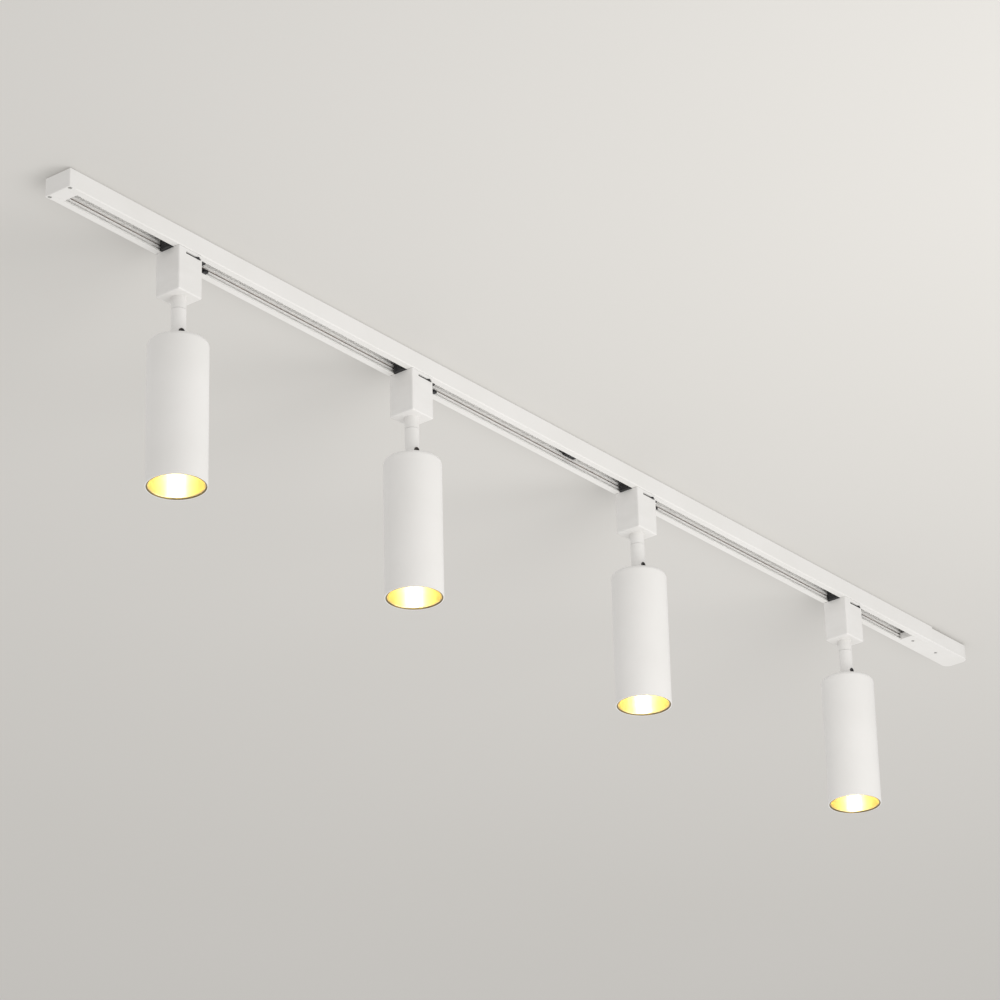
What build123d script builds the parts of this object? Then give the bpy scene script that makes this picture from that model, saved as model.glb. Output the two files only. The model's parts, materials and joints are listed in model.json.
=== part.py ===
from build123d import *
import os

# Ceiling lighting track with four tilting spot heads.
# Millimetres, +X along the track, +Z up to the ceiling.
# The origin is the middle of the ceiling face of the track.

# ---------------------------------------------------------------- driving sizes
overall_length = 1535.0
track_width = 32.5
track_height = 19.5
lamp_diameter = 60.0
lamp_length = 152.5
wall = 1.6

# head positions measured from the dead end, and how far each head is swivelled
head_places = {1: 167.5, 2: 516.0, 3: 896.5, 4: 1293.0}
head_turns = {1: -20.0, 2: -10.0, 3: -4.0, 4: 0.0}

# ---------------------------------------------------------------- track section
cap_length = 8.0
feed_length = 77.0
profile_start = cap_length
profile_end = overall_length - feed_length
half_width = track_width / 2
cavity_half = half_width - wall
slot_half = 8.3
lip = 1.5
lip_top = -track_height + lip

strip_low = -15.3
strip_high = -8.5
strip_face = 9.2
groove_low = -13.1
groove_high = -10.7
copper_face = 11.2
copper_back = 12.8
ledge_depth = 2.0
ledge = 1.0

# ceiling screw holes measured from the dead end, and the one that has a block under it
fixing_places = (45.0, 787.0, 1382.0)
fixing_block_place = 787.0
fixing_length = 18.0
fixing_low = -11.0
fixing_hole = 2.3
fixing_side_gap = 0.3
fixing_sink_radius = 5.0
fixing_sink_depth = 2.5

tongue_half = 8.2
tongue_top = -12.0
cap_tongue = 9.8
feed_tongue = 32.5

# cover screws, shared by the dead end and the feed
screw_head_radius = 1.9
screw_head = 1.2
screw_shank_radius = 1.2
screw_shank = 6.0
cap_screw_x = 3.4
cap_screw_y = 13.4
feed_screw_places = (1439.5, 1488.0)
screw_lift = 0.2
screw_slot_half = 0.3
screw_slot_depth = 0.6

# live end feed
feed_top = -2.0
feed_wall = 1.8
feed_corner = 9.0
feed_plate = 1.8
grommet_x = 1472.0
grommet_hole = 4.2
terminal_start = 1498.0
terminal_length = 24.0
terminal_half = 10.0
terminal_low = -17.6
terminal_high = -8.6
terminal_screw_places = (-6.2, 0.0, 6.2)
well_radius = 2.1
well_depth = 5.0
well_inset = 8.0
wire_hole_radius = 1.6
wire_hole_depth = 8.0
wire_hole_z = -15.4
terminal_screw_radius = 1.9
terminal_screw_high = 2.6
terminal_slot_depth = 0.8
feed_boss = 3.6

grommet_groove = 6.45
grommet_flange = 8.0
grommet_inner_flange = 1.4
grommet_outer_flange = 1.2
plate_hole = 6.5

# copper springs between the terminal block and the conductors
spring_low = -12.5
spring_high = -11.3
spring_front = 20.0
spring_back = 6.0
window_gap = 0.5

# ---------------------------------------------------------------- spot head
gap = 0.3
fit = 0.05
block_length = 33.0
block_width = 31.0
block_top = -track_height - gap
block_bottom = -67.0
block_wall = 1.8
block_floor = 2.5
block_corner = 1.6
block_edge = 1.5

foot_low = -23.2
shoe_half = 7.8
shoe_inner = 11.2
shoe_outer = 30.5
shoe_outer_back = 20.0
shoe_top = -8.8
latch_end = 46.0
latch_arm = (-18.5, -15.5)
latch_arm_inner = 6.2
latch_tip = (-19.4, -16.4)
latch_tip_inner = 4.0
latch_tip_length = 5.5
shoe_corner = 2.5

# lock lever: rest is locked, the lever swings back through lock_swing to release
lock_swing = 50.0
lever_rest = 35.6
lever_reach = 20.0
lever_width = 4.0
lever_low = -25.3
lever_high = -23.5
lever_disc = 11.5
spindle = 5.0
collar = 6.8
collar_top = -18.1
slit_start = -6.6
slit_end = 14.2
wing_low = -17.8
wing_high = -16.6
wing_reach = 12.0
wing_width = 5.0
carrier = 6.0
carrier_low = -13.0
carrier_high = -10.6
blade_low = -12.3
blade_high = -11.5
blade_reach = 10.95
blade_width = 3.0
blade_root = 3.0

# driver board standing on edge inside the adapter block
board_face = 5.75
board = 1.6
board_low = -58.0
board_high = -30.0
rail_depth = 1.2
rail_thick = 1.0
rail_gap = 0.15
transformer = ((-11.0, 1.0), (-7.0, board_face), (-47.0, -34.0))
choke = ((3.0, 11.5), (0.0, board_face), (-55.0, -48.5))
chip = ((-10.0, -2.0), (2.0, board_face), (-55.5, -50.5))
capacitor_radius = 4.0
capacitor_length = 11.0
capacitor_x = 7.5
capacitor_z = -40.0

# swivel and tilt
stem_radius = 7.5
neck_bottom = -80.0
stem_top = neck_bottom - gap
stem_bottom = -112.6
spigot = 4.5
spigot_top = -57.5
wire_bore = 2.6
nut_radius = 8.0
nut_low = -64.2
nut_high = -60.2
stop_reach = 10.8
stop_width = 1.4
nut_bore_gap = 0.02

pivot_z = -105.5
pivot_radius = 2.0
pivot_head = 3.0
pivot_head_recess = 1.2
pivot_socket = 1.5
pivot_socket_depth = 1.2
pivot_end = 0.9
tongue_thick = 5.0
tongue_width = 9.0
fork_slot = tongue_thick + 0.4
fork_back = 5.0
fork_top = pivot_z + tongue_width / 2 + 0.2

# lamp
lamp_radius = lamp_diameter / 2
lamp_top = -115.5
lamp_bottom = lamp_top - lamp_length
lamp_bore = 28.2
lamp_roof = 6.0
lamp_edge = 5.0
carrier_disc_top = -214.0
carrier_disc_bottom = -222.0
led_radius = 9.0
led_face = -224.0
wire_hole = 2.0
wire_hole_place = 18.0
reflector_throat = 9.6
reflector_waist = 20.8
reflector_waist_z = -237.0
reflector_mouth = 27.2
reflector_wall = 0.8
ring_seat = 29.1
ring_depth = 1.0
ring_top = lamp_bottom + ring_depth
ring_inner = 27.9
ring_break = 0.4


# ---------------------------------------------------------------- helpers
def along(place):
    """Turn a distance from the dead end into an X coordinate."""
    return place - overall_length / 2


def block(x, y, z):
    """A box given by its low and high limit on each axis."""
    size = [high - low for low, high in (x, y, z)]
    middle = [(high + low) / 2 for low, high in (x, y, z)]
    return Pos(*middle) * Box(*size)


def post(radius, low, high, x=0.0, y=0.0):
    """An upright cylinder between two heights."""
    return Pos(x, y, (low + high) / 2) * Cylinder(radius, high - low)


def cross_pin(radius, y_low, y_high, z):
    """A cylinder lying along Y."""
    middle = (y_low + y_high) / 2
    return Pos(0, middle, z) * Rot(90, 0, 0) * Cylinder(radius, y_high - y_low)


def both_sides(shape):
    """The shape together with its mirror image across the track centre line."""
    return [shape, mirror(shape, Plane.XZ)]


def group(shapes):
    """Separate solids kept together under one name."""
    return Compound(children=[solid for shape in shapes for solid in shape.solids()])


def save(shape, name):
    export_step(shape, f"parts/{name}.step")


# ---------------------------------------------------------------- track
def track_profile():
    """Extruded channel: flat back, inward lips, ledges that hold the strips."""
    reach = (along(profile_start), along(profile_end))
    body = block(reach, (-half_width, half_width), (-track_height, 0))
    corners = body.edges().filter_by(Axis.X).group_by(Axis.Z)[0]
    body = fillet(corners, 1.0)
    body -= block(reach, (-cavity_half, cavity_half), (lip_top, -wall))
    body -= block(reach, (-slot_half, slot_half), (-track_height, lip_top))
    for low in (strip_low - ledge, strip_high):
        rib = block(reach, (cavity_half - ledge_depth, cavity_half), (low, low + ledge))
        for side in both_sides(rib):
            body += side
    for place in fixing_places:
        body -= post(fixing_hole, -wall, 0, along(place))
    return body


def insulator_strip():
    """C-shaped strip that carries one conductor in its groove."""
    reach = (along(profile_start) + 1.0, along(profile_end) - 1.0)
    strip = block(reach, (strip_face, cavity_half), (strip_low, strip_high))
    return strip - block(reach, (strip_face, copper_back), (groove_low, groove_high))


def conductor():
    """Copper bar in the groove of a strip."""
    reach = (along(profile_start) + 3.0, along(profile_end) - 3.0)
    return block(reach, (copper_face, copper_back), (groove_low, groove_high))


def fixing_block():
    """Block under the back of the track with a countersunk ceiling screw hole."""
    x = along(fixing_block_place)
    half = fixing_length / 2
    side = slot_half - fixing_side_gap
    body = block((x - half, x + half), (-side, side), (fixing_low, -wall))
    body = chamfer(body.edges().group_by(Axis.Z)[0], 0.8)
    body -= post(fixing_hole, fixing_low, -wall, x)
    sink = Cone(fixing_sink_radius, fixing_hole, fixing_sink_depth)
    return body - Pos(x, 0, fixing_low + fixing_sink_depth / 2) * sink


def screwdriver_slot(x, y, low, high):
    """Straight cut across a small screw head."""
    return block((x - 2.0, x + 2.0), (y - screw_slot_half, y + screw_slot_half), (low, high))


def cover_screw(x, y):
    """Small slotted pan head screw driven upward from below."""
    head_low = -track_height + screw_lift
    head = post(screw_head_radius, head_low, head_low + screw_head, x, y)
    head -= screwdriver_slot(x, y, head_low, head_low + screw_slot_depth)
    top = head_low + screw_head
    return head + post(screw_shank_radius, top, top + screw_shank, x, y)


def screw_seat(x, y):
    """Counterbore and pilot hole that take one cover screw."""
    head_top = -track_height + screw_lift + screw_head
    seat = post(screw_head_radius + screw_lift, -track_height, head_top, x, y)
    return seat + post(screw_shank_radius + fit, head_top, head_top + screw_shank + 0.5, x, y)


def screw_spots():
    """X and Y of every cover screw."""
    spots = [(along(cap_screw_x), side * cap_screw_y) for side in (-1, 1)]
    return spots + [(along(place), 0.0) for place in feed_screw_places]


def dead_end_cap():
    """Cap that closes the left end, with a tongue filling the slot."""
    x = along(0)
    body = block((x, x + cap_length), (-half_width, half_width), (-track_height, 0))
    body = fillet(body.edges().group_by(Axis.X)[0], 1.0)
    tongue_end = x + cap_length + cap_tongue
    body += block((x + cap_length, tongue_end), (-tongue_half, tongue_half),
                  (-track_height, tongue_top))
    for spot in screw_spots()[:2]:
        body -= screw_seat(*spot)
    return body


def feed_housing():
    """Live end box, open to the ceiling, with a tongue reaching into the slot."""
    start = along(profile_end)
    end = along(overall_length)
    body = block((start, end), (-half_width, half_width), (-track_height, feed_top))
    corners = body.edges().filter_by(Axis.Z).group_by(Axis.X)[-1]
    body = fillet(corners, feed_corner)
    body = fillet(body.faces().sort_by(Axis.Z)[0].edges().sort_by(Axis.X)[1:], 1.0)
    inner = feed_corner - feed_wall
    room = block((start + feed_wall, end - feed_wall),
                 (-half_width + feed_wall, half_width - feed_wall),
                 (-track_height + feed_wall, feed_top))
    room = fillet(room.edges().filter_by(Axis.Z).group_by(Axis.X)[-1], inner)
    body -= room
    body += block((start - feed_tongue, start), (-tongue_half, tongue_half),
                  (-track_height, tongue_top))
    for spot in screw_spots()[2:]:
        body -= screw_seat(*spot)
    window = block((start, start + feed_wall),
                   (terminal_half - window_gap, copper_face + window_gap),
                   (spring_low - window_gap, spring_high + window_gap))
    for side in both_sides(window):
        body -= side
    return body


def feed_back_plate():
    """Plate that closes the feed box against the ceiling, with the cable hole."""
    start = along(profile_end) + feed_wall + 0.1
    end = along(overall_length) - feed_wall - 0.1
    half = half_width - feed_wall - 0.1
    plate = block((start, end), (-half, half), (feed_top - feed_plate, feed_top))
    corners = plate.edges().filter_by(Axis.Z).group_by(Axis.X)[-1]
    plate = fillet(corners, feed_corner - feed_wall - 0.1)
    boss_x = along(feed_screw_places[1])
    plate += post(feed_boss, -track_height + feed_wall, feed_top - feed_plate, boss_x)
    plate -= screw_seat(boss_x, 0.0)
    return plate - post(plate_hole, feed_top - feed_plate, feed_top, along(grommet_x))


def cable_grommet():
    """Rubber ring around the cable hole in the back plate."""
    x = along(grommet_x)
    low = feed_top - feed_plate
    bottom = low - grommet_inner_flange
    top = feed_top + grommet_outer_flange
    ring = post(grommet_groove, low, feed_top, x)
    ring += post(grommet_flange, bottom, low, x)
    ring += post(grommet_flange, feed_top, top, x)
    return ring - post(grommet_hole, bottom, top, x)


def terminal_block():
    """Three-way terminal block with wire holes in its end and screw wells above."""
    x = along(terminal_start)
    body = block((x, x + terminal_length), (-terminal_half, terminal_half),
                 (terminal_low, terminal_high))
    middle = x + terminal_length - wire_hole_depth / 2
    bore = Rot(0, 90, 0) * Cylinder(wire_hole_radius, wire_hole_depth)
    for y in terminal_screw_places:
        body -= post(well_radius, terminal_high - well_depth, terminal_high, x + well_inset, y)
        body -= Pos(middle, y, wire_hole_z) * bore
    return body


def terminal_screw(y):
    """Brass clamping screw at the bottom of one well."""
    x = along(terminal_start) + well_inset
    low = terminal_high - well_depth
    top = low + terminal_screw_high
    screw = post(terminal_screw_radius, low, top, x, y)
    return screw - screwdriver_slot(x, y, top - terminal_slot_depth, top)


def feed_contact():
    """Copper spring from the terminal block to the conductor."""
    front = along(profile_end) - spring_front
    back = along(terminal_start) + spring_back
    return block((front, back), (terminal_half, copper_face - fit), (spring_low, spring_high))


# ---------------------------------------------------------------- adapter
def adapter_housing():
    """White adapter block with its neck, open at the top."""
    body = block((-block_length / 2, block_length / 2), (-block_width / 2, block_width / 2),
                 (block_bottom, block_top))
    body = fillet(body.edges().filter_by(Axis.Z), block_corner)
    body = fillet(body.faces().sort_by(Axis.Z)[0].edges(), block_edge)
    body += post(stem_radius, neck_bottom, block_bottom + 1.0)
    inside_x = block_length / 2 - block_wall
    inside_y = block_width / 2 - block_wall
    floor = block_bottom + block_floor
    body -= block((-inside_x, inside_x), (-inside_y, inside_y), (floor, block_top))
    body -= post(spigot + fit, neck_bottom, floor)
    body -= block((slit_start, slit_end), (-block_width / 2 - 1, -inside_y),
                  (lever_low - gap, lever_high + gap))
    stop = stop_width / 2
    body += block((-stop_reach - stop, -nut_radius - 0.5), (-stop, stop), (floor, nut_high))
    for low in (board_face - rail_gap - rail_thick, board_face + board + rail_gap):
        rail = block((inside_x - rail_depth, inside_x), (low, low + rail_thick),
                     (board_low, board_high))
        body += rail
        body += mirror(rail, Plane.YZ)
    return body


def contact_shoe(outer, foot_x):
    """Shoe that rides in the slot, on a root that stands on the foot plate."""
    shoe = block((shoe_inner, outer), (-shoe_half, shoe_half), (-track_height, shoe_top))
    shoe = fillet(shoe.edges().filter_by(Axis.Z).group_by(Axis.X)[-1], shoe_corner)
    return shoe + block((shoe_inner, foot_x), (-shoe_half, shoe_half), (block_top, -track_height))


def contact_insert():
    """Black foot plate and the two shoes that ride in the slot."""
    foot_x = block_length / 2 - block_wall - 0.2
    foot_y = block_width / 2 - block_wall - 0.2
    body = block((-foot_x, foot_x), (-foot_y, foot_y), (foot_low, block_top))
    body -= post(spindle + fit, foot_low, block_top)
    body += contact_shoe(shoe_outer, foot_x)
    body += mirror(contact_shoe(shoe_outer_back, foot_x), Plane.YZ)
    arm = block((shoe_outer - 3.0, latch_end), (latch_arm_inner, shoe_half), latch_arm)
    tip_start = latch_end - latch_tip_length
    tip = block((tip_start, latch_end), (latch_tip_inner, shoe_half), latch_tip)
    return body + arm + tip


def locked_bar(reach, width, low, high):
    """Bar trimmed to pass the slot when released, then turned to its locked place."""
    released = 90.0 - lock_swing
    bar = Rot(0, 0, released) * block((-reach, reach), (-width / 2, width / 2), (low, high))
    bar = bar & block((-reach, reach), (-slot_half + 0.3, slot_half - 0.3), (low, high))
    return Rot(0, 0, lock_swing) * bar


def lock_rotor():
    """Lever, spindle and locking wings moulded as one turning piece."""
    body = post(lever_disc, lever_low, lever_high)
    arm = block((0, lever_reach), (-lever_width / 2, lever_width / 2), (lever_low, lever_high))
    arm = fillet(arm.edges().filter_by(Axis.Z).group_by(Axis.X)[-1], 1.0)
    body += Rot(0, 0, -90.0 + lever_rest) * arm
    body += post(spindle, lever_high, block_top + gap)
    body += post(collar, block_top + gap, collar_top)
    body += post(spindle, collar_top, carrier_low)
    body += locked_bar(wing_reach, wing_width, wing_low, wing_high)
    body += post(carrier, carrier_low, carrier_high)
    body -= contact_slots()
    return body


def contact_slots():
    """Pockets in the rotor that hold the roots of the two contact blades."""
    width = blade_width / 2
    pocket = block((-width, width), (blade_root, carrier + 1), (blade_low, blade_high))
    return pocket + mirror(pocket, Plane.XZ)


def contact_blade():
    """Copper blade that reaches into a strip groove when locked."""
    width = blade_width / 2
    return block((-width, width), (blade_root, blade_reach), (blade_low, blade_high))


def driver_board():
    """Upright driver board with transformer, capacitor and choke."""
    half = block_length / 2 - block_wall - 0.1
    body = block((-half, half), (board_face, board_face + board), (board_low, board_high))
    for component in (transformer, choke, chip):
        body += block(*component)
    capacitor = Rot(90, 0, 0) * Cylinder(capacitor_radius, capacitor_length)
    middle = board_face - capacitor_length / 2
    return body + Pos(capacitor_x, middle, capacitor_z) * capacitor


# ---------------------------------------------------------------- swivel
def swivel_stem():
    """Turning stem: hollow spigot above, fork for the lamp tongue below."""
    body = post(stem_radius, stem_bottom, stem_top)
    body = fillet(body.edges().group_by(Axis.Z)[0], 1.5)
    body += post(spigot, stem_top, spigot_top)
    body -= post(wire_bore, fork_top - 1.0, spigot_top)
    half = fork_slot / 2
    body -= block((-fork_back, stem_radius + 1), (-half, half), (stem_bottom - 1, fork_top))
    body -= cross_pin(pivot_radius + 0.02, -stem_radius, stem_radius - 0.8, pivot_z)
    recess = stem_radius - pivot_head_recess
    return body - cross_pin(pivot_head + 0.1, -stem_radius - 1, -recess, pivot_z)


def swivel_nut():
    """Ring nut that hangs the stem in the adapter, with a stop lug."""
    body = post(nut_radius, nut_low, nut_high)
    body += block((0, stop_reach), (-stop_width / 2, stop_width / 2), (nut_low, nut_high))
    return body - post(spigot + nut_bore_gap, nut_low, nut_high)


def pivot_screw():
    """Dark socket head screw through the fork."""
    recess = stem_radius - pivot_head_recess
    body = cross_pin(pivot_radius, -recess, stem_radius - pivot_end, pivot_z)
    head = cross_pin(pivot_head, -stem_radius - 0.4, -recess, pivot_z)
    socket = Pos(0, -stem_radius + 0.1, pivot_z) * Rot(90, 0, 0)
    hexagon = RegularPolygon(pivot_socket, 6)
    socket = socket * extrude(hexagon, amount=pivot_socket_depth, both=True)
    return body + head - socket


# ---------------------------------------------------------------- lamp
def lamp_housing():
    """Cylinder lamp body with the tongue that hangs from the fork."""
    body = post(lamp_radius, lamp_bottom, lamp_top)
    body = fillet(body.edges().group_by(Axis.Z)[-1], lamp_edge)
    body -= post(lamp_bore, lamp_bottom, lamp_top - lamp_roof)
    body -= post(ring_seat, lamp_bottom, ring_top)
    half = tongue_width / 2
    thick = tongue_thick / 2
    body += block((-half, half), (-thick, thick), (lamp_top - 1.0, pivot_z))
    body += cross_pin(half, -thick, thick, pivot_z)
    return body - cross_pin(pivot_radius + fit, -thick, thick, pivot_z)


def led_module():
    """Heat spreading disc with the light source on its lower face."""
    body = post(lamp_bore - fit, carrier_disc_bottom, carrier_disc_top)
    body += post(led_radius, led_face, carrier_disc_bottom)
    return body - post(wire_hole, carrier_disc_bottom, carrier_disc_top, wire_hole_place)


def reflector():
    """Thin gold bowl between the light source and the mouth ring."""
    top = carrier_disc_bottom - 0.2
    bottom = ring_top
    outer_mouth = reflector_mouth + reflector_wall
    outer_throat = reflector_throat + reflector_wall
    lip_radius = lamp_bore - fit
    shelf = bottom + reflector_wall
    waist = (reflector_waist, reflector_waist_z)
    outer_waist = (reflector_waist + reflector_wall, reflector_waist_z + 0.2)
    inner = ThreePointArc((reflector_throat, top), waist, (reflector_mouth, bottom))
    foot = Polyline((reflector_mouth, bottom), (lip_radius, bottom), (lip_radius, shelf),
                    (outer_mouth, shelf))
    outer = ThreePointArc((outer_mouth, shelf), outer_waist, (outer_throat, top))
    close = Line((outer_throat, top), (reflector_throat, top))
    section = make_face(Curve() + [inner, foot, outer, close])
    return revolve(Plane.XZ * section, Axis.Z)


def front_ring():
    """Thin dark ring seated in the mouth."""
    ring = post(ring_seat - fit, lamp_bottom, ring_top)
    ring -= post(ring_inner, lamp_bottom, ring_top)
    return chamfer(ring.edges().group_by(Axis.Z)[0].sort_by(SortBy.RADIUS)[0], ring_break)


# ---------------------------------------------------------------- assembly
def save_track():
    save(track_profile(), "track_profile")
    save(group(both_sides(insulator_strip())), "insulator_strips")
    save(group(both_sides(conductor())), "copper_conductors")
    save(fixing_block(), "fixing_block")
    save(group([cover_screw(x, y) for x, y in screw_spots()]), "cover_screws")
    save(dead_end_cap(), "dead_end_cap")
    save(feed_housing(), "feed_housing")
    save(feed_back_plate(), "feed_back_plate")
    save(cable_grommet(), "cable_grommet")
    save(terminal_block(), "terminal_block")
    save(group([terminal_screw(y) for y in terminal_screw_places]), "terminal_screws")
    save(group(both_sides(feed_contact())), "feed_contacts")


def save_heads():
    sliding = {
        "adapter_housing": adapter_housing(),
        "contact_insert": contact_insert(),
        "driver_board": driver_board(),
        "lock_rotor": lock_rotor(),
        "contact_blades": group(both_sides(contact_blade())),
    }
    turning = {
        "swivel_stem": swivel_stem(),
        "swivel_nut": swivel_nut(),
        "pivot_screw": pivot_screw(),
        "lamp_housing": lamp_housing(),
        "led_module": led_module(),
        "reflector": reflector(),
        "front_ring": front_ring(),
    }
    for number, place in head_places.items():
        seat = Pos(along(place), 0, 0)
        turned = seat * Rot(0, 0, head_turns[number])
        for name, shape in sliding.items():
            save(seat * shape, f"head{number}_{name}")
        for name, shape in turning.items():
            save(turned * shape, f"head{number}_{name}")


os.makedirs("parts", exist_ok=True)
save_track()
save_heads()
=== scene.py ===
import json
import math

import bmesh
import bpy
from mathutils import Matrix, Vector


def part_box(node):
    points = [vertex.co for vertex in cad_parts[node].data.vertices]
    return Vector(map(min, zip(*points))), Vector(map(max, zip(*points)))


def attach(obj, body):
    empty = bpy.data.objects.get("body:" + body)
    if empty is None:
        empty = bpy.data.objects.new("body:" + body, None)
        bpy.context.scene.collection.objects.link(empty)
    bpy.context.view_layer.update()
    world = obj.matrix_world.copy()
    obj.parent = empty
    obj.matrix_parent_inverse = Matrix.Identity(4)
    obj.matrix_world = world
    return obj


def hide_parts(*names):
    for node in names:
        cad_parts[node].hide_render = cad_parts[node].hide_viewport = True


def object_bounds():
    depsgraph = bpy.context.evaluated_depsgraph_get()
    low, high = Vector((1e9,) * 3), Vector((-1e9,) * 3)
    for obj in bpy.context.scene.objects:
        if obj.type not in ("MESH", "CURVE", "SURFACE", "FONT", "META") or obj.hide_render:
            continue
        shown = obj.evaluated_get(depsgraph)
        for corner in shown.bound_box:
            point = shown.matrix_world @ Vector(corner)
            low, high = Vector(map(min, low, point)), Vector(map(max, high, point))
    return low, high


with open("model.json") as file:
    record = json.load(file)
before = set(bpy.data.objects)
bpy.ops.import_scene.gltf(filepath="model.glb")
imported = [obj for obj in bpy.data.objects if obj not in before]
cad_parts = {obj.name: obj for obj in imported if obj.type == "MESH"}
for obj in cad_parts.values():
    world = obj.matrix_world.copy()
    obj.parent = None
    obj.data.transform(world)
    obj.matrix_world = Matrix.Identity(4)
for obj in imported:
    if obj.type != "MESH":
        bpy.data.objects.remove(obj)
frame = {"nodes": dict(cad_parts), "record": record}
cad_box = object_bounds()

# ---------------------------------------------------------------- sizes, metres
MM = 0.001
HEADS = (1, 2, 3, 4)

# track: its depth, and a half width that ends inside its side walls
TRACK_DEPTH = 19.5 * MM
CHANNEL_HALF = 15.0 * MM

# how the painted light inside the channel fades in, upward from the track's underside and inside a
# side wall
PAINTED_LIGHT_START = 0.2 * MM
PAINTED_LIGHT_FULL = 0.8 * MM
PAINTED_LIGHT_SIDE = 0.3 * MM

# reflector bowl: heights from the ceiling face, radii, wall, and how finely it is divided
BOWL_TOP = -222.2 * MM
BOWL_WAIST = -237.0 * MM
BOWL_BOTTOM = -267.0 * MM
BOWL_TOP_RADIUS = 9.6 * MM
BOWL_WAIST_RADIUS = 20.8 * MM
BOWL_BOTTOM_RADIUS = 27.2 * MM
BOWL_WALL = 0.8 * MM
BOWL_LIP_RADIUS = 28.15 * MM
BOWL_RINGS = 40
BOWL_SIDES = 96

# light source in the bowl's throat, and the strength of its glow
LIGHT_RADIUS = 8.6 * MM
LIGHT_BASE = -224.0 * MM
LIGHT_DOME = 3.2 * MM
LIGHT_RINGS = 10
LIGHT_SIDES = 64
GLOW = 110.0

# stage: ceiling's gap above the track, floor's depth below the track's back, half a side
CEILING_LIFT = 1.5 * MM
FLOOR_DROP = 2.4
STAGE_HALF = 14.0

# camera, found from the object's own proportions: place in metres, angles in radians
CAMERA_PLACE = (-3.1714, -2.4298, -1.9495)
CAMERA_PITCH = 0.440
CAMERA_YAW = 0.900
CAMERA_ROLL = -0.025
CAMERA_LENS = 148.96
CAMERA_SENSOR = 36.0
CAMERA_REACH = 60.0

# studio lights: name, place, point aimed at, size and watts
STUDIO_LIGHTS = (
    ("key", (1.5, -3.3, -2.0), (0.15, 0.0, -0.1), 1.7, 11.5),
    ("near", (0.1, -0.9, -1.3), (0.1, -0.3, 0.0), 1.2, 6.5),
    ("left", (-0.6, -1.6, -1.2), (0.45, 0.0, -0.15), 1.2, 7.0),
    ("low", (1.1, 0.5, -2.0), (1.1, 0.5, 0.0), 1.8, 2.2),
)
STUDIO_COLOUR = (1.0, 0.99, 0.975)

# even light of the room
ROOM_COLOUR = (1.0, 0.985, 0.965)
ROOM_STRENGTH = 0.75

# ---------------------------------------------------------------- shading values
DUST = (0.50, 0.485, 0.46)
WORN = (0.62, 0.62, 0.61)
SCUFF = (0.16, 0.16, 0.16)

# the part of a noise's range that is spread over the whole of another range
NOISE_LOW = 0.3
NOISE_HIGH = 0.7

# cosine between a rounded normal and the true one: at an edge, and where nearly flat
COSINE_EDGE = 0.75
COSINE_FLAT = 0.98
BEVEL_SAMPLES = 4

# upward part of a normal where dust starts to lie, and where it lies fully
DUST_START = 0.55
DUST_FULL = 0.95

# clear coats, and the spun bowl's stretched highlight with its direction in turns
COAT_ROUGHNESS = 0.2
SPUN_ANISOTROPY = 0.85
QUARTER_TURN = 0.25


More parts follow.
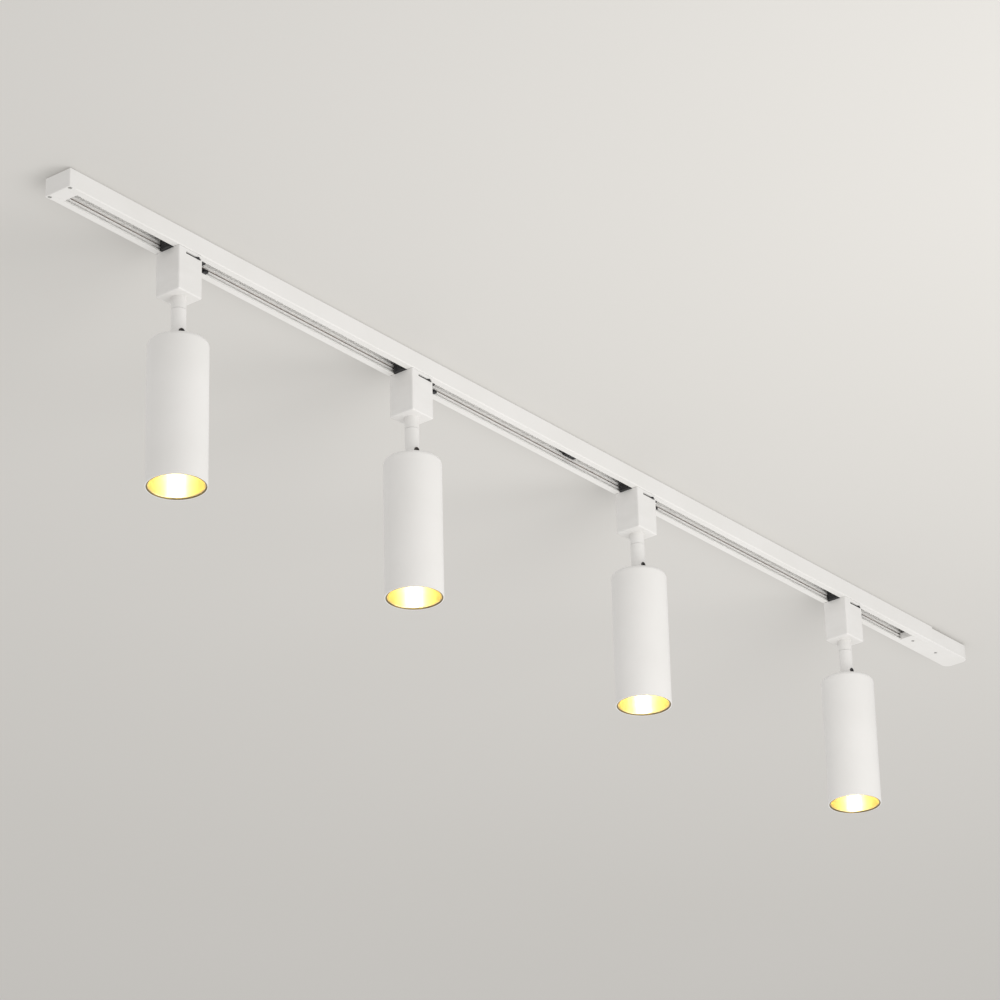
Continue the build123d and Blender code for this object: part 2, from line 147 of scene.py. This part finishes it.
# ---------------------------------------------------------------- node helpers
class Paint:
    """A material's node tree with short calls for the nodes used here."""

    def __init__(self, name):
        self.material = bpy.data.materials.new(name)
        self.material.use_nodes = True
        self.tree = self.material.node_tree
        self.tree.nodes.clear()
        self.output = self.tree.nodes.new("ShaderNodeOutputMaterial")
        self.shader = self.tree.nodes.new("ShaderNodeBsdfPrincipled")
        self.link(self.shader.outputs[0], self.output.inputs["Surface"])
        self.place = self.tree.nodes.new("ShaderNodeTexCoord").outputs["Object"]

    def link(self, source, target):
        """Joins a node's result to another node's socket."""
        self.tree.links.new(source, target)

    def stretched(self, scale):
        """Object coordinates scaled on each axis."""
        node = self.tree.nodes.new("ShaderNodeMapping")
        node.inputs["Scale"].default_value = scale
        self.link(self.place, node.inputs["Vector"])
        return node.outputs[0]

    def noise(self, scale, detail=3.0, place=None):
        """Soft noise over the object's coordinates, or over a stretched copy of them."""
        node = self.tree.nodes.new("ShaderNodeTexNoise")
        node.inputs["Scale"].default_value = scale
        node.inputs["Detail"].default_value = detail
        self.link(place or self.place, node.inputs["Vector"])
        return node.outputs["Fac"]

    def spots(self, scale):
        """Distance to the nearest of many scattered points."""
        node = self.tree.nodes.new("ShaderNodeTexVoronoi")
        node.inputs["Scale"].default_value = scale
        self.link(self.place, node.inputs["Vector"])
        return node.outputs["Distance"]

    def span(self, value, low, high, to_low, to_high):
        """Value moved from one range to another, held at the ends."""
        node = self.tree.nodes.new("ShaderNodeMapRange")
        node.inputs["From Min"].default_value = low
        node.inputs["From Max"].default_value = high
        node.inputs["To Min"].default_value = to_low
        node.inputs["To Max"].default_value = to_high
        self.link(value, node.inputs["Value"])
        return node.outputs[0]

    def patches(self, scale, detail=3.0, low=0.35, high=0.65, most=1.0):
        """Soft patches: noise that runs from 0 to the given most."""
        return self.span(self.noise(scale, detail), low, high, 0.0, most)

    def roughness(self, scale, smooth, rough):
        """Roughness that wanders between two values."""
        return self.span(self.noise(scale), NOISE_LOW, NOISE_HIGH, smooth, rough)

    def times(self, first, second):
        """Product of two values."""
        node = self.tree.nodes.new("ShaderNodeMath")
        node.operation = "MULTIPLY"
        self.link(first, node.inputs[0])
        self.link(second, node.inputs[1])
        return node.outputs[0]

    def blend(self, factor, first, second):
        """Mix of two colours, each a colour or another node's result."""
        node = self.tree.nodes.new("ShaderNodeMix")
        node.data_type = "RGBA"
        self.link(factor, node.inputs["Factor"])
        for value, socket in ((first, node.inputs[6]), (second, node.inputs[7])):
            if isinstance(value, tuple):
                socket.default_value = (*value, 1.0)
            else:
                self.link(value, socket)
        return node.outputs[2]

    def cover(self, amount, most, tone, over):
        """A tone with another colour over it, at most this strongly where amount is 1."""
        return self.blend(self.span(amount, 0.0, 1.0, 0.0, most), tone, over)

    def edges(self, radius):
        """1 near an edge and 0 on open faces."""
        bevel = self.tree.nodes.new("ShaderNodeBevel")
        bevel.samples = BEVEL_SAMPLES
        bevel.inputs["Radius"].default_value = radius
        flat = self.tree.nodes.new("ShaderNodeNewGeometry")
        dot = self.tree.nodes.new("ShaderNodeVectorMath")
        dot.operation = "DOT_PRODUCT"
        self.link(bevel.outputs[0], dot.inputs[0])
        self.link(flat.outputs["Normal"], dot.inputs[1])
        return self.span(dot.outputs["Value"], COSINE_EDGE, COSINE_FLAT, 1.0, 0.0)

    def upward(self):
        """1 where the surface faces up and 0 where it faces sideways or down."""
        flat = self.tree.nodes.new("ShaderNodeNewGeometry")
        split = self.tree.nodes.new("ShaderNodeSeparateXYZ")
        self.link(flat.outputs["Normal"], split.inputs[0])
        return self.span(split.outputs["Z"], DUST_START, DUST_FULL, 0.0, 1.0)

    def channel(self):
        """1 inside the track's channel and 0 on its outside: where the channel's painted light
        goes.
        """
        split = self.tree.nodes.new("ShaderNodeSeparateXYZ")
        self.link(self.place, split.inputs[0])
        aside = self.tree.nodes.new("ShaderNodeMath")
        aside.operation = "ABSOLUTE"
        self.link(split.outputs["Y"], aside.inputs[0])
        start = -TRACK_DEPTH + PAINTED_LIGHT_START
        full = -TRACK_DEPTH + PAINTED_LIGHT_FULL
        deep = self.span(split.outputs["Z"], start, full, 0.0, 1.0)
        near = self.span(aside.outputs[0], CHANNEL_HALF, CHANNEL_HALF + PAINTED_LIGHT_SIDE, 1.0, 0.0)
        return self.times(deep, near)

    def bump(self, height, strength, depth, under=None):
        """Normal of a small relief, laid over another one if that is given."""
        node = self.tree.nodes.new("ShaderNodeBump")
        node.inputs["Strength"].default_value = strength
        node.inputs["Distance"].default_value = depth
        self.link(height, node.inputs["Height"])
        if under is not None:
            self.link(under, node.inputs["Normal"])
        return node.outputs[0]

    def finish(self, colour, roughness, normal, metallic=0.0, coat=0.0, level=0.5):
        """Joins the results to the shader and returns the material."""
        self.link(colour, self.shader.inputs["Base Color"])
        self.link(roughness, self.shader.inputs["Roughness"])
        self.link(normal, self.shader.inputs["Normal"])
        self.shader.inputs["Metallic"].default_value = metallic
        self.shader.inputs["Coat Weight"].default_value = coat
        self.shader.inputs["Coat Roughness"].default_value = COAT_ROUGHNESS
        self.shader.inputs["Specular IOR Level"].default_value = level
        return self.material


# ---------------------------------------------------------------- materials
def powder_coat(name, colour, shade, painted_inside_light=None):
    """Fine satin powder coat: orange peel, faint mottling, rubbed edges, dust on top, and, if
    given, painted light over the shaded inside of the track's channel.
    """
    paint = Paint(name)
    mottle = paint.patches(scale=14.0, detail=4.0)
    dust = paint.times(paint.upward(), paint.patches(scale=55.0, detail=6.0, high=0.7))
    rubbed = paint.patches(scale=160.0, detail=4.0, low=0.45, high=0.7)
    rub = paint.times(paint.edges(0.5 * MM), rubbed)
    tone = paint.blend(mottle, colour, shade)
    tone = paint.cover(dust, 0.28, tone, DUST)
    tone = paint.cover(rub, 0.18, tone, WORN)
    # painted light: a paler colour over the inside of the channel, which lies in shade
    if painted_inside_light is not None:
        tone = paint.blend(paint.channel(), tone, painted_inside_light)
    rough = paint.roughness(scale=420.0, smooth=0.40, rough=0.52)
    peel = paint.bump(paint.noise(900.0, 2.0), strength=0.16, depth=0.06 * MM)
    grain = paint.bump(paint.noise(3800.0, 2.0), strength=0.10, depth=0.02 * MM, under=peel)
    return paint.finish(tone, rough, grain, level=0.4)


def moulded_plastic(name, colour, shade):
    """Light moulded plastic with a fine spark-eroded texture and faint flow marks."""
    paint = Paint(name)
    flow = paint.noise(1.0, 4.0, paint.stretched((26.0, 26.0, 70.0)))
    tone = paint.blend(paint.span(flow, 0.35, 0.65, 0.0, 1.0), colour, shade)
    dust = paint.times(paint.upward(), paint.noise(60.0, 6.0))
    tone = paint.cover(dust, 0.30, tone, DUST)
    rough = paint.roughness(scale=700.0, smooth=0.36, rough=0.50)
    texture = paint.bump(paint.spots(2600.0), strength=0.12, depth=0.025 * MM)
    wave = paint.bump(paint.noise(120.0, 2.0), strength=0.05, depth=0.08 * MM, under=texture)
    return paint.finish(tone, rough, wave, level=0.45)


def extruded_plastic(name, colour, shade):
    """Light plastic with drawing lines along the track."""
    paint = Paint(name)
    lines = paint.noise(1.0, 3.0, paint.stretched((4.0, 1500.0, 1500.0)))
    tone = paint.blend(paint.span(lines, NOISE_LOW, NOISE_HIGH, 0.0, 1.0), colour, shade)
    rough = paint.roughness(scale=300.0, smooth=0.42, rough=0.58)
    return paint.finish(tone, rough, paint.bump(lines, strength=0.14, depth=0.03 * MM))


def dark_moulding(name, colour, shade, smooth, rough):
    """Dark plastic or rubber: fine texture, lighter scuffs on the edges."""
    paint = Paint(name)
    tone = paint.blend(paint.patches(scale=70.0, detail=4.0), colour, shade)
    scuff = paint.times(paint.edges(0.4 * MM), paint.noise(300.0, 4.0))
    tone = paint.blend(paint.span(scuff, NOISE_LOW, NOISE_HIGH, 0.0, 0.35), tone, SCUFF)
    wander = paint.roughness(900.0, smooth, rough)
    texture = paint.bump(paint.spots(2200.0), strength=0.2, depth=0.03 * MM)
    return paint.finish(tone, wander, texture, level=0.35)


def bare_metal(name, colour, shade, smooth, rough, lines=(900.0, 900.0, 60.0)):
    """Bare or plated metal with fine working lines and slightly tarnished patches."""
    paint = Paint(name)
    tarnish = paint.patches(scale=130.0, detail=5.0, low=0.4, high=0.68)
    tone = paint.blend(tarnish, colour, shade)
    drawn = paint.noise(1.0, 3.0, paint.stretched(lines))
    wander = paint.roughness(500.0, smooth, rough)
    relief = paint.bump(drawn, strength=0.12, depth=0.02 * MM)
    return paint.finish(tone, wander, relief, metallic=1.0)


def circuit_board(name):
    """Green solder mask with tracks below it, under a thin clear coat."""
    paint = Paint(name)
    tracks = paint.span(paint.spots(420.0), 0.10, 0.16, 1.0, 0.0)
    tone = paint.blend(tracks, (0.025, 0.13, 0.065), (0.05, 0.22, 0.11))
    mottle = paint.patches(scale=90.0, low=0.4, high=0.6, most=0.4)
    tone = paint.blend(mottle, tone, (0.02, 0.07, 0.045))
    rough = paint.roughness(scale=600.0, smooth=0.24, rough=0.42)
    relief = paint.bump(tracks, strength=0.2, depth=0.04 * MM)
    return paint.finish(tone, rough, relief, coat=0.3)


def gold_bowl(name):
    """Gold anodised reflector whose spun rings spread the light up and down the bowl."""
    paint = Paint(name)
    spun = paint.noise(1.0, 2.0, paint.stretched((25.0, 25.0, 2600.0)))
    cloud = paint.patches(scale=60.0, detail=4.0)
    tone = paint.blend(cloud, (1.0, 0.88, 0.54), (0.99, 0.85, 0.48))
    rough = paint.span(spun, NOISE_LOW, NOISE_HIGH, 0.36, 0.44)
    around = paint.tree.nodes.new("ShaderNodeTangent")
    around.direction_type = "RADIAL"
    around.axis = "Z"
    paint.link(around.outputs[0], paint.shader.inputs["Tangent"])
    paint.shader.inputs["Anisotropic"].default_value = SPUN_ANISOTROPY
    paint.shader.inputs["Anisotropic Rotation"].default_value = QUARTER_TURN
    relief = paint.bump(spun, strength=0.10, depth=0.02 * MM)
    return paint.finish(tone, rough, relief, metallic=1.0)


def light_source(name):
    """Glowing warm phosphor, slightly paler where its grain is high."""
    paint = Paint(name)
    grain = paint.patches(scale=1400.0, low=NOISE_LOW, high=NOISE_HIGH)
    glow = paint.blend(grain, (1.0, 0.94, 0.84), (1.0, 0.96, 0.88))
    rough = paint.span(grain, 0.0, 1.0, 0.35, 0.5)
    paint.link(glow, paint.shader.inputs["Emission Color"])
    paint.shader.inputs["Emission Strength"].default_value = GLOW
    return paint.finish(glow, rough, paint.bump(grain, strength=0.1, depth=0.03 * MM))


def make_materials():
    """One material for each material slot of the record."""
    white = (0.80, 0.79, 0.775)
    return {
        # the track's coat gets painted light inside its channel, brightening the shade there
        "track_white": powder_coat("track_coat", white, (0.775, 0.765, 0.745),
                                   painted_inside_light=(0.96, 0.955, 0.94)),
        "lamp_white": powder_coat("lamp_coat", (0.81, 0.80, 0.785), (0.785, 0.775, 0.757)),
        "adapter_white": moulded_plastic("adapter_plastic", white, (0.77, 0.76, 0.742)),
        "feed_white": moulded_plastic("feed_plastic", (0.79, 0.78, 0.765), (0.765, 0.755, 0.735)),
        "strip_grey": extruded_plastic("strip_plastic", (0.92, 0.915, 0.90), (0.88, 0.87, 0.855)),
        "copper": bare_metal("copper_bar", (0.24, 0.17, 0.13), (0.16, 0.12, 0.10),
                             smooth=0.40, rough=0.56),
        "black_plastic": dark_moulding("black_moulding", (0.018, 0.018, 0.019),
                                       (0.028, 0.028, 0.030), smooth=0.38, rough=0.55),
        "board_green": circuit_board("driver_board_green"),
        "zinc_steel": bare_metal("zinc_plate", (0.58, 0.58, 0.56), (0.44, 0.44, 0.43),
                                 smooth=0.25, rough=0.42),
        "black_steel": bare_metal("black_oxide", (0.055, 0.055, 0.06), (0.10, 0.085, 0.07),
                                  smooth=0.34, rough=0.5),
        "led_disc": bare_metal("spreader_aluminium", (0.72, 0.72, 0.73), (0.60, 0.60, 0.61),
                               smooth=0.3, rough=0.45),
        "gold_reflector": gold_bowl("gold_anodised"),
        "black_ring": bare_metal("black_anodised", (0.24, 0.19, 0.09), (0.17, 0.13, 0.06),
                                 smooth=0.32, rough=0.46),
        "rubber_black": dark_moulding("rubber", (0.022, 0.022, 0.022), (0.035, 0.034, 0.033),
                                      smooth=0.6, rough=0.8),
        "terminal_cream": moulded_plastic("terminal_plastic", (0.74, 0.68, 0.52),
                                          (0.68, 0.62, 0.46)),
        "brass_screw": bare_metal("brass", (0.80, 0.58, 0.22), (0.58, 0.40, 0.14),
                                  smooth=0.25, rough=0.4),
    }


def coat_nodes(materials):
    """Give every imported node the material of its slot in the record."""
    slots = {part["node"]: part["material_slot"] for part in frame["record"]["subparts"]}
    for name, node in frame["nodes"].items():
        material = materials[slots[name]]
        if not node.material_slots:
            node.data.materials.append(material)
        for index in range(len(node.material_slots)):
            node.material_slots[index].link = "OBJECT"
            node.material_slots[index].material = material


# ---------------------------------------------------------------- geometry
def new_object(name, data):
    """An object that holds this mesh, light or camera, in the scene."""
    made = bpy.data.objects.new(name, data)
    bpy.context.scene.collection.objects.link(made)
    return made


def piece_from(name, mesh_maker, material):
    """A smooth shaded object built by a function that fills a bmesh."""
    mesh = bpy.data.meshes.new(name)
    work = bmesh.new()
    mesh_maker(work)
    bmesh.ops.recalc_face_normals(work, faces=work.faces)
    work.to_mesh(mesh)
    work.free()
    for face in mesh.polygons:
        face.use_smooth = True
    mesh.materials.append(material)
    return new_object(name, mesh)


def ring_of(work, centre, radius, height, sides):
    """Level ring of points around an upright line."""
    points = []
    for index in range(sides):
        angle = 2.0 * math.pi * index / sides
        x = centre[0] + radius * math.cos(angle)
        y = centre[1] + radius * math.sin(angle)
        points.append(work.verts.new((x, y, height)))
    return points


def bridge(work, upper, lower):
    """Band of faces between two rings with as many points each."""
    sides = len(upper)
    for index in range(sides):
        after = (index + 1) % sides
        work.faces.new((upper[index], upper[after], lower[after], lower[index]))


def turned(work, centre, outline, sides, closed):
    """Surface of revolution about an upright line, from (radius, height) pairs."""
    rings = [ring_of(work, centre, radius, height, sides) for radius, height in outline]
    for upper, lower in zip(rings, rings[1:]):
        bridge(work, upper, lower)
    if closed:
        bridge(work, rings[-1], rings[0])
    return rings


def circle_through(first, middle, last):
    """Centre and radius of the circle through three (radius, height) points."""
    (ax, ay), (bx, by), (cx, cy) = first, middle, last
    twice = 2.0 * (ax * (by - cy) + bx * (cy - ay) + cx * (ay - by))
    aa, bb, cc = ax * ax + ay * ay, bx * bx + by * by, cx * cx + cy * cy
    x = (aa * (by - cy) + bb * (cy - ay) + cc * (ay - by)) / twice
    y = (aa * (cx - bx) + bb * (ax - cx) + cc * (bx - ax)) / twice
    return x, y, math.hypot(ax - x, ay - y)


def bowl_outline():
    """Closed section of the reflector: smooth inside, wall, and a lip at the bottom."""
    first = (BOWL_TOP_RADIUS, BOWL_TOP)
    middle = (BOWL_WAIST_RADIUS, BOWL_WAIST)
    last = (BOWL_BOTTOM_RADIUS, BOWL_BOTTOM)
    x, y, radius = circle_through(first, middle, last)
    inside = []
    for index in range(BOWL_RINGS + 1):
        height = BOWL_TOP + (BOWL_BOTTOM - BOWL_TOP) * index / BOWL_RINGS
        inside.append((x + math.sqrt(radius ** 2 - (height - y) ** 2), height))
    lip = [(BOWL_LIP_RADIUS, BOWL_BOTTOM), (BOWL_LIP_RADIUS, BOWL_BOTTOM + BOWL_WALL)]
    outside = [(reach + BOWL_WALL, height) for reach, height in reversed(inside[:-1])]
    return inside + lip + outside


def add_bowl(number, centre, material):
    """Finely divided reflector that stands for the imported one."""
    outline = bowl_outline()
    bowl = piece_from(f"head{number}_bowl",
                      lambda work: turned(work, centre, outline, BOWL_SIDES, True), material)
    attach(bowl, f"head{number}_lamp")
    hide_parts(f"head{number}_reflector")


def add_light(number, centre, material):
    """Shallow glowing dome on the face of the light module."""
    outline = []
    for index in range(LIGHT_RINGS):
        angle = 0.5 * math.pi * index / LIGHT_RINGS
        outline.append((LIGHT_RADIUS * math.cos(angle), LIGHT_BASE - LIGHT_DOME * math.sin(angle)))

    def dome(work):
        rings = turned(work, centre, outline, LIGHT_SIDES, False)
        work.faces.new(rings[0])
        work.faces.new(rings[-1])

    light = piece_from(f"head{number}_light", dome, material)
    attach(light, f"head{number}_lamp")


def middle_of(node):
    """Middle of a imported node's box, seen from above."""
    low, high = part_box(node)
    return ((low[0] + high[0]) / 2, (low[1] + high[1]) / 2)


def add_lamp_insides(materials):
    """A bowl and a light source in each head."""
    glow = light_source("phosphor")
    for number in HEADS:
        centre = middle_of(f"head{number}_front_ring")
        add_bowl(number, centre, materials["gold_reflector"])
        add_light(number, centre, glow)


# ---------------------------------------------------------------- stage
def one_sided(name, colour, shade):
    """Plain matt paint that shows from its front and is clear from behind."""
    paint = Paint(name)
    tone = paint.blend(paint.patches(scale=0.9, detail=2.0), colour, shade)
    rough = paint.roughness(scale=30.0, smooth=0.85, rough=0.95)
    fine = paint.bump(paint.noise(260.0, 4.0), strength=0.05, depth=0.1 * MM)
    paint.finish(tone, rough, fine, level=0.1)
    clear = paint.tree.nodes.new("ShaderNodeBsdfTransparent")
    side = paint.tree.nodes.new("ShaderNodeNewGeometry")
    either = paint.tree.nodes.new("ShaderNodeMixShader")
    paint.link(side.outputs["Backfacing"], either.inputs[0])
    paint.link(paint.shader.outputs[0], either.inputs[1])
    paint.link(clear.outputs[0], either.inputs[2])
    paint.link(either.outputs[0], paint.output.inputs["Surface"])
    return paint.material


def stage_plane(name, height, facing_up, material):
    """Large square that the camera sees, but that casts no shadow and isn't reflected."""
    half = STAGE_HALF
    corners = [(-half, -half), (half, -half), (half, half), (-half, half)]
    if not facing_up:
        corners.reverse()
    mesh = bpy.data.meshes.new(name)
    mesh.from_pydata([(x, y, height) for x, y in corners], [], [(0, 1, 2, 3)])
    mesh.materials.append(material)
    plane = new_object(name, mesh)
    plane.visible_shadow = False
    plane.visible_diffuse = False
    plane.visible_glossy = False


def add_stage():
    """The ceiling that the track hangs from, and a floor far below it."""
    high = cad_box[1][2] + CEILING_LIFT
    ceiling = one_sided("ceiling_paint", (0.655, 0.645, 0.625), (0.645, 0.635, 0.613))
    stage_plane("ceiling", high, False, ceiling)
    floor = one_sided("floor_paint", (0.62, 0.61, 0.59), (0.60, 0.59, 0.57))
    stage_plane("floor", -FLOOR_DROP, True, floor)


def add_area(name, place, target, size, power):
    """Round area light that points at a target."""
    light = bpy.data.lights.new(name, "AREA")
    light.shape = "DISK"
    light.size = size
    light.energy = power
    light.color = STUDIO_COLOUR
    lamp = new_object(name, light)
    lamp.location = place
    aim = Vector(target) - Vector(place)
    lamp.rotation_euler = aim.to_track_quat("-Z", "Y").to_euler()


def add_lights():
    """The studio lights, and a world that lights evenly from all sides."""
    for name, place, target, size, power in STUDIO_LIGHTS:
        add_area(name, place, target, size, power)
    world = bpy.data.worlds.new("soft_room")
    bpy.context.scene.world = world
    world.use_nodes = True
    background = world.node_tree.nodes["Background"]
    background.inputs["Color"].default_value = (*ROOM_COLOUR, 1.0)
    background.inputs["Strength"].default_value = ROOM_STRENGTH


def add_camera():
    """Looks up from the left and in front, along the track."""
    pitch, yaw, roll = CAMERA_PITCH, CAMERA_YAW, CAMERA_ROLL
    forward = Vector((math.sin(yaw) * math.cos(pitch), math.cos(yaw) * math.cos(pitch),
                      math.sin(pitch)))
    level = Vector((math.cos(yaw), -math.sin(yaw), 0.0))
    upright = level.cross(forward)
    right = level * math.cos(roll) + upright * math.sin(roll)
    top = upright * math.cos(roll) - level * math.sin(roll)
    turn = Matrix((right, top, -forward)).transposed().to_4x4()
    data = bpy.data.cameras.new("camera")
    data.lens = CAMERA_LENS
    data.sensor_width = CAMERA_SENSOR
    data.clip_end = CAMERA_REACH
    camera = new_object("camera", data)
    camera.matrix_world = Matrix.Translation(CAMERA_PLACE) @ turn
    bpy.context.scene.camera = camera


materials = make_materials()
coat_nodes(materials)
add_lamp_insides(materials)
add_stage()
add_lights()
add_camera()
bpy.context.scene.view_settings.view_transform = "Standard"
